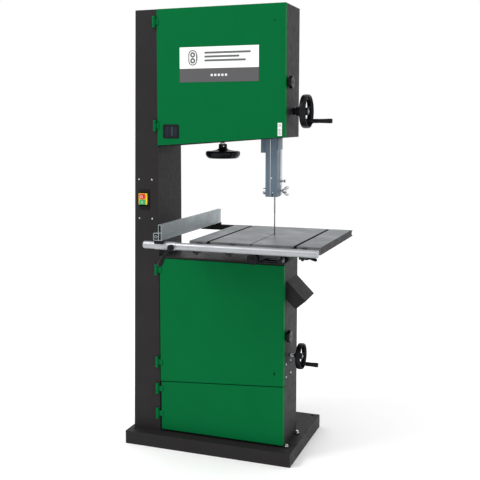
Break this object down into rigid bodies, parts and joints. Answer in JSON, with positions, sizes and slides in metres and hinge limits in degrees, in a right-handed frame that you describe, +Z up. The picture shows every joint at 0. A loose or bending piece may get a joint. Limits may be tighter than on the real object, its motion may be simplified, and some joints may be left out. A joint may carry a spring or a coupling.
{
  "type": "vertical band saw",
  "caption": "Floor-standing vertical woodworking band saw with hinged doors, tilting slotted table, rip fence, guide post and tension handwheels.",
  "frame": {"origin": "on the floor, in the middle of the four anchor holes", "axes": "+X to the operator's right, +Y to the back, +Z up"},
  "size_m": [0.922, 0.736, 1.9],
  "materials": {
    "dark_paint": "textured satin powder coat, charcoal",
    "green_paint": "satin powder coat, deep green",
    "black_plastic": "moulded phenolic, satin black",
    "yellow_plastic": "moulded, satin yellow",
    "green_plastic": "moulded, glossy green",
    "red_plastic": "moulded, glossy red",
    "nameplate": "printed film, white over dark grey",
    "zinc": "bright zinc plate",
    "bright_steel": "ground steel, lightly oiled",
    "guard_steel": "blue-grey painted sheet steel",
    "blade_steel": "rolled spring steel",
    "cast_iron": "grey cast iron, painted",
    "ground_iron": "ground top, dark painted sides",
    "insert": "turned aluminium, worn",
    "rubber": "matte black rubber",
    "motor_paint": "dark grey enamel",
    "rail_tube": "brushed bright tube",
    "black_steel": "black painted angle",
    "aluminium": "extruded, fine anodised finish",
    "clamp_alloy": "die cast, grey",
    "brush": "stiff natural bristle"
  },
  "bodies": {
    "frame": {"base_plinth": "dark_paint", "frame_screws": "zinc", "column": "dark_paint", "upper_housing": "dark_paint", "lower_housing": "dark_paint", "dust_chute": "dark_paint", "cable_gland": "black_plastic", "switch_plate": "black_plastic", "switch_frame": "yellow_plastic", "hinge_barrels": "green_paint", "slide_rails": "cast_iron", "tension_spring": "zinc", "blade": "blade_steel", "shaft_housing": "cast_iron", "drive_belt": "rubber", "post_bracket": "guard_steel", "lower_guide": "cast_iron", "wheel_brush": "brush", "trunnion_cradles": "cast_iron"},
    "start_key": {"start_button": "green_plastic"},
    "stop_key": {"stop_button": "red_plastic"},
    "upper_door": {"upper_door": "green_paint", "nameplate": "nameplate", "sight_window": "black_plastic"},
    "lower_door": {"lower_door": "green_paint"},
    "motor_door": {"motor_door": "green_paint"},
    "upper_latch": {"upper_latch": "black_plastic"},
    "lower_latch": {"lower_latch": "black_plastic"},
    "tension_wheel": {"tension_handwheel": "black_plastic", "tension_screw": "zinc"},
    "upper_slide": {"upper_slide": "cast_iron"},
    "tilt_block": {"tilt_block": "bright_steel"},
    "tracking_knob": {"tracking_knob": "black_plastic"},
    "upper_wheel": {"upper_wheel": "cast_iron", "upper_tyre": "rubber"},
    "lower_wheel": {"wheel_shaft": "bright_steel", "lower_wheel": "cast_iron", "lower_tyre": "rubber", "wheel_pulley": "cast_iron"},
    "motor": {"motor": "motor_paint", "motor_plate": "dark_paint"},
    "motor_rotor": {"motor_pulley": "cast_iron"},
    "belt_wheel": {"belt_handwheel": "black_plastic"},
    "belt_grip": {"belt_grip": "black_plastic"},
    "guide_post": {"guide_post": "bright_steel", "blade_guard": "guard_steel", "guide_head": "bright_steel", "guide_screws": "zinc"},
    "post_wheel": {"guide_handwheel": "black_plastic"},
    "post_grip": {"guide_grip": "black_plastic"},
    "table": {"table": "ground_iron", "table_insert": "insert", "trunnion_arcs": "cast_iron", "front_rail": "rail_tube", "rear_rail": "black_steel"},
    "tilt_knob": {"tilt_knob": "black_plastic"},
    "tilt_lever": {"tilt_lever": "black_plastic"},
    "fence": {"fence_profile": "aluminium", "fence_clamp": "clamp_alloy"},
    "fence_lever": {"fence_lever": "black_plastic"}
  },
  "joints": [
    {"name": "upper_door_hinge", "type": "hinge", "parent": "frame", "child": "upper_door", "pos_m": [-0.246, -0.206, 1.63], "axis": [0, 0, -1], "range_deg": [0, 150]},
    {"name": "lower_door_hinge", "type": "hinge", "parent": "frame", "child": "lower_door", "pos_m": [-0.246, -0.206, 0.58], "axis": [0, 0, -1], "range_deg": [0, 150]},
    {"name": "motor_door_hinge", "type": "hinge", "parent": "frame", "child": "motor_door", "pos_m": [-0.246, -0.206, 0.19], "axis": [0, 0, -1], "range_deg": [0, 150]},
    {"name": "upper_latch_turn", "type": "hinge", "parent": "frame", "child": "upper_latch", "pos_m": [0.334, -0.16, 1.587], "axis": [-1, 0, 0], "range_deg": [0, 90]},
    {"name": "lower_latch_turn", "type": "hinge", "parent": "frame", "child": "lower_latch", "pos_m": [0.334, -0.16, 0.532], "axis": [-1, 0, 0], "range_deg": [0, 90]},
    {"name": "start_press", "type": "slide", "parent": "frame", "child": "start_key", "axis": [0, 1, 0], "range_m": [0, 0.004], "stiffness_N_per_m": 400},
    {"name": "stop_press", "type": "slide", "parent": "frame", "child": "stop_key", "axis": [0, 1, 0], "range_m": [0, 0.004], "stiffness_N_per_m": 400},
    {"name": "tension_turn", "type": "hinge", "parent": "frame", "child": "tension_wheel", "pos_m": [0, -0.033, 1.3], "axis": [0, 0, 1], "range_deg": [0, 910]},
    {"name": "upper_wheel_slide", "type": "slide", "parent": "frame", "child": "upper_slide", "axis": [0, 0, 1], "range_m": [-0.01, 0], "deforming": ["blade"]},
    {"name": "tracking_turn", "type": "hinge", "parent": "upper_slide", "child": "tracking_knob", "pos_m": [0, 0, 1.586], "axis": [0, 1, 0], "range_deg": [-135, 135]},
    {"name": "upper_wheel_tilt", "type": "hinge", "parent": "upper_slide", "child": "tilt_block", "pos_m": [0, -0.065, 1.618], "axis": [1, 0, 0], "range_deg": [-1, 1]},
    {"name": "upper_wheel_spin", "type": "hinge", "parent": "tilt_block", "child": "upper_wheel", "pos_m": [0, -0.103, 1.618], "axis": [0, 1, 0], "continuous": true},
    {"name": "lower_wheel_spin", "type": "hinge", "parent": "frame", "child": "lower_wheel", "pos_m": [0, -0.103, 0.565], "axis": [0, 1, 0], "continuous": true},
    {"name": "motor_spin", "type": "hinge", "parent": "motor", "child": "motor_rotor", "pos_m": [0, -0.05, 0.17], "axis": [0, 1, 0], "continuous": true},
    {"name": "motor_lift", "type": "slide", "parent": "frame", "child": "motor", "axis": [0, 0, 1], "range_m": [0, 0.008], "deforming": ["drive_belt"]},
    {"name": "belt_wheel_turn", "type": "hinge", "parent": "frame", "child": "belt_wheel", "pos_m": [0.38, -0.094, 0.432], "axis": [1, 0, 0], "range_deg": [0, 1441]},
    {"name": "belt_grip_spin", "type": "hinge", "parent": "belt_wheel", "child": "belt_grip", "pos_m": [0.38, -0.06907, 0.39211], "axis": [1, 0, 0], "continuous": true},
    {"name": "post_wheel_turn", "type": "hinge", "parent": "frame", "child": "post_wheel", "pos_m": [0.394, -0.096, 1.47], "axis": [1, 0, 0], "range_deg": [-631, 688]},
    {"name": "guide_post_slide", "type": "slide", "parent": "frame", "child": "guide_post", "axis": [0, 0, 1], "range_m": [-0.11, 0.12]},
    {"name": "post_grip_spin", "type": "hinge", "parent": "post_wheel", "child": "post_grip", "pos_m": [0.394, -0.0523, 1.43066], "axis": [1, 0, 0], "continuous": true},
    {"name": "table_tilt", "type": "hinge", "parent": "frame", "child": "table", "pos_m": [0.261, -0.165, 0.954], "axis": [0, 1, 0], "range_deg": [0, 45]},
    {"name": "tilt_knob_turn", "type": "hinge", "parent": "frame", "child": "tilt_knob", "pos_m": [0.209, -0.2, 0.86336], "axis": [0, 1, 0], "range_deg": [-480, 0]},
    {"name": "tilt_lever_turn", "type": "hinge", "parent": "frame", "child": "tilt_lever", "pos_m": [0.319, -0.21, 0.856], "axis": [0, -1, 0], "range_deg": [0, 60]},
    {"name": "fence_slide", "type": "slide", "parent": "table", "child": "fence", "axis": [1, 0, 0], "range_m": [-0.045, 0.3]},
    {"name": "fence_lever_turn", "type": "hinge", "parent": "fence", "child": "fence_lever", "pos_m": [-0.049, -0.48, 0.933], "axis": [0, 1, 0], "range_deg": [0, 55]}
  ],
  "couplings": [
    {"joint": "tension_turn", "follows": "upper_wheel_slide", "rad_per_m": -1570.8},
    {"joint": "tracking_turn", "follows": "upper_wheel_tilt", "ratio": 134.04},
    {"joint": "upper_wheel_spin", "follows": "lower_wheel_spin", "ratio": 1},
    {"joint": "motor_spin", "follows": "lower_wheel_spin", "ratio": 2},
    {"joint": "belt_wheel_turn", "follows": "motor_lift", "rad_per_m": 3141.6},
    {"joint": "post_wheel_turn", "follows": "guide_post_slide", "rad_per_m": 100},
    {"joint": "tilt_knob_turn", "follows": "table_tilt", "ratio": -10.556}
  ]
}
